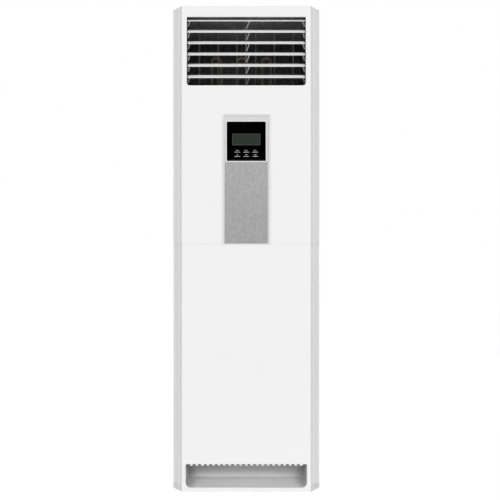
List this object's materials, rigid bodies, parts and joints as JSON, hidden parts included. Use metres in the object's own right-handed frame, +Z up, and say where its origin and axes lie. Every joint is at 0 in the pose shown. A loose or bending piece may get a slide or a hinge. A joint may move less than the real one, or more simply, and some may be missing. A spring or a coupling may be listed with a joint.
{
  "type": "floor standing air conditioner",
  "caption": "Tall cabinet air conditioner with tilting louvres over swinging vanes, a control panel with push buttons, a blower wheel and an inlet recess at the foot.",
  "frame": {"origin": "centre of the footprint, on the floor", "axes": "+Z up, the front faces -Y, +X to the right seen from the front"},
  "size_m": [0.52, 0.3, 1.7],
  "materials": {
    "front_white": "satin moulded plastic",
    "side_white": "powder coat",
    "base_grey": "powder coat",
    "galvanised": "galvanised sheet",
    "duct_dark": "foam lined",
    "scoop_white": "moulded plastic",
    "louvre_white": "satin",
    "vane_grey": "moulded plastic",
    "field_silver": "silver lacquer",
    "window_black": "gloss",
    "screen_grey": "liquid crystal screen, off",
    "strip_metal": "brushed lengthwise",
    "board_green": "circuit board",
    "button_grey": "satin",
    "filter_dark": "net in a frame",
    "heater_olive": "heat tinted",
    "fin_metal": "bare fins",
    "copper": "bare copper tube",
    "fan_dark": "moulded plastic",
    "motor_grey": "lacquered",
    "rubber_black": "matt"
  },
  "bodies": {
    "cabinet": {"upper_front_panel": "front_white", "lower_front_panel": "front_white", "inlet_grille": "front_white", "left_side_panel": "side_white", "right_side_panel": "side_white", "top_cover": "side_white", "pipe_port_cover": "side_white", "base_pan": "base_grey", "rear_panel": "galvanised", "wall_bracket": "galvanised", "drain_pan": "galvanised", "blower_deck": "galvanised", "scroll_housing": "galvanised", "motor_bracket": "galvanised", "electrical_box": "galvanised", "heater_rail": "galvanised", "swing_motor": "galvanised", "outlet_frame": "duct_dark", "inlet_scoop": "scoop_white", "inlet_ring": "scoop_white", "control_bezel": "field_silver", "display_window": "window_black", "lcd_module": "screen_grey", "trim_strip": "strip_metal", "control_board": "board_green", "air_filter": "filter_dark", "heater_1": "heater_olive", "heater_2": "heater_olive", "heater_3": "heater_olive", "evaporator_fins": "fin_metal", "evaporator_bends": "copper", "evaporator_headers": "copper", "gas_pipe": "copper", "liquid_pipe": "copper", "fan_motor": "motor_grey", "cord_gland": "rubber_black"},
    "louvre_1": {"louvre_1": "louvre_white"},
    "louvre_2": {"louvre_2": "louvre_white"},
    "louvre_3": {"louvre_3": "louvre_white"},
    "louvre_4": {"louvre_4": "louvre_white"},
    "louvre_5": {"louvre_5": "louvre_white"},
    "louvre_6": {"louvre_6": "louvre_white"},
    "louvre_link": {"louvre_link": "vane_grey"},
    "vane_1": {"vane_1": "vane_grey"},
    "vane_2": {"vane_2": "vane_grey"},
    "vane_3": {"vane_3": "vane_grey"},
    "vane_4": {"vane_4": "vane_grey"},
    "vane_5": {"vane_5": "vane_grey"},
    "vane_6": {"vane_6": "vane_grey"},
    "vane_link": {"vane_link": "vane_grey"},
    "swing_crank": {"swing_crank": "louvre_white"},
    "button_1": {"button_1": "button_grey"},
    "button_2": {"button_2": "button_grey"},
    "button_3": {"button_3": "button_grey"},
    "button_4": {"button_4": "button_grey"},
    "button_5": {"button_5": "button_grey"},
    "button_6": {"button_6": "button_grey"},
    "blower_wheel": {"blower_wheel": "fan_dark"}
  },
  "joints": [
    {"name": "louvre_1_tilt", "type": "hinge", "parent": "cabinet", "child": "louvre_1", "pos_m": [0, -0.12, 1.64562], "axis": [1, 0, 0], "range_deg": [-28, 22]},
    {"name": "louvre_2_tilt", "type": "hinge", "parent": "cabinet", "child": "louvre_2", "pos_m": [0, -0.12, 1.60582], "axis": [1, 0, 0], "range_deg": [-28, 22]},
    {"name": "louvre_3_tilt", "type": "hinge", "parent": "cabinet", "child": "louvre_3", "pos_m": [0, -0.12, 1.56602], "axis": [1, 0, 0], "range_deg": [-28, 22]},
    {"name": "louvre_4_tilt", "type": "hinge", "parent": "cabinet", "child": "louvre_4", "pos_m": [0, -0.12, 1.52622], "axis": [1, 0, 0], "range_deg": [-28, 22]},
    {"name": "louvre_5_tilt", "type": "hinge", "parent": "cabinet", "child": "louvre_5", "pos_m": [0, -0.12, 1.48642], "axis": [1, 0, 0], "range_deg": [-28, 22]},
    {"name": "louvre_6_tilt", "type": "hinge", "parent": "cabinet", "child": "louvre_6", "pos_m": [0, -0.12, 1.44662], "axis": [1, 0, 0], "range_deg": [-28, 22]},
    {"name": "louvre_link_swing", "type": "hinge", "parent": "louvre_1", "child": "louvre_link", "pos_m": [0, -0.094, 1.63762], "axis": [1, 0, 0], "range_deg": [-22, 28]},
    {"name": "vane_1_turn", "type": "hinge", "parent": "cabinet", "child": "vane_1", "pos_m": [-0.168, -0.072, 1.54], "axis": [0, 0, 1], "range_deg": [-35, 35]},
    {"name": "vane_2_turn", "type": "hinge", "parent": "cabinet", "child": "vane_2", "pos_m": [-0.1008, -0.072, 1.54], "axis": [0, 0, 1], "range_deg": [-35, 35]},
    {"name": "vane_3_turn", "type": "hinge", "parent": "cabinet", "child": "vane_3", "pos_m": [-0.0336, -0.072, 1.54], "axis": [0, 0, 1], "range_deg": [-35, 35]},
    {"name": "vane_4_turn", "type": "hinge", "parent": "cabinet", "child": "vane_4", "pos_m": [0.0336, -0.072, 1.54], "axis": [0, 0, 1], "range_deg": [-35, 35]},
    {"name": "vane_5_turn", "type": "hinge", "parent": "cabinet", "child": "vane_5", "pos_m": [0.1008, -0.072, 1.54], "axis": [0, 0, 1], "range_deg": [-35, 35]},
    {"name": "vane_6_turn", "type": "hinge", "parent": "cabinet", "child": "vane_6", "pos_m": [0.168, -0.072, 1.54], "axis": [0, 0, 1], "range_deg": [-35, 35]},
    {"name": "vane_link_swing", "type": "hinge", "parent": "vane_1", "child": "vane_link", "pos_m": [-0.168, -0.052, 1.427], "axis": [0, 0, 1], "range_deg": [-35, 35]},
    {"name": "swing_crank_turn", "type": "hinge", "parent": "cabinet", "child": "swing_crank", "pos_m": [0.1344, -0.072, 1.41], "axis": [0, 0, 1], "range_deg": [-35, 35]},
    {"name": "button_1_press", "type": "slide", "parent": "cabinet", "child": "button_1", "axis": [0, 1, 0], "range_m": [0, 0.0007], "stiffness_N_per_m": 700, "springref_m": -0.0008},
    {"name": "button_2_press", "type": "slide", "parent": "cabinet", "child": "button_2", "axis": [0, 1, 0], "range_m": [0, 0.0007], "stiffness_N_per_m": 700, "springref_m": -0.0008},
    {"name": "button_3_press", "type": "slide", "parent": "cabinet", "child": "button_3", "axis": [0, 1, 0], "range_m": [0, 0.0007], "stiffness_N_per_m": 700, "springref_m": -0.0008},
    {"name": "button_4_press", "type": "slide", "parent": "cabinet", "child": "button_4", "axis": [0, 1, 0], "range_m": [0, 0.0007], "stiffness_N_per_m": 700, "springref_m": -0.0008},
    {"name": "button_5_press", "type": "slide", "parent": "cabinet", "child": "button_5", "axis": [0, 1, 0], "range_m": [0, 0.0007], "stiffness_N_per_m": 700, "springref_m": -0.0008},
    {"name": "button_6_press", "type": "slide", "parent": "cabinet", "child": "button_6", "axis": [0, 1, 0], "range_m": [0, 0.0007], "stiffness_N_per_m": 700, "springref_m": -0.0008},
    {"name": "blower_spin", "type": "hinge", "parent": "cabinet", "child": "blower_wheel", "pos_m": [-0.008, 0.08, 0.56], "axis": [0, 1, 0], "continuous": true}
  ],
  "couplings": [
    {"joint": "louvre_2_tilt", "follows": "louvre_1_tilt", "ratio": 1},
    {"joint": "louvre_3_tilt", "follows": "louvre_1_tilt", "ratio": 1},
    {"joint": "louvre_4_tilt", "follows": "louvre_1_tilt", "ratio": 1},
    {"joint": "louvre_5_tilt", "follows": "louvre_1_tilt", "ratio": 1},
    {"joint": "louvre_6_tilt", "follows": "louvre_1_tilt", "ratio": 1},
    {"joint": "louvre_link_swing", "follows": "louvre_1_tilt", "ratio": -1},
    {"joint": "vane_2_turn", "follows": "vane_1_turn", "ratio": 1},
    {"joint": "vane_3_turn", "follows": "vane_1_turn", "ratio": 1},
    {"joint": "vane_4_turn", "follows": "vane_1_turn", "ratio": 1},
    {"joint": "vane_5_turn", "follows": "vane_1_turn", "ratio": 1},
    {"joint": "vane_6_turn", "follows": "vane_1_turn", "ratio": 1},
    {"joint": "vane_link_swing", "follows": "vane_1_turn", "ratio": -1},
    {"joint": "swing_crank_turn", "follows": "vane_1_turn", "ratio": 1}
  ]
}
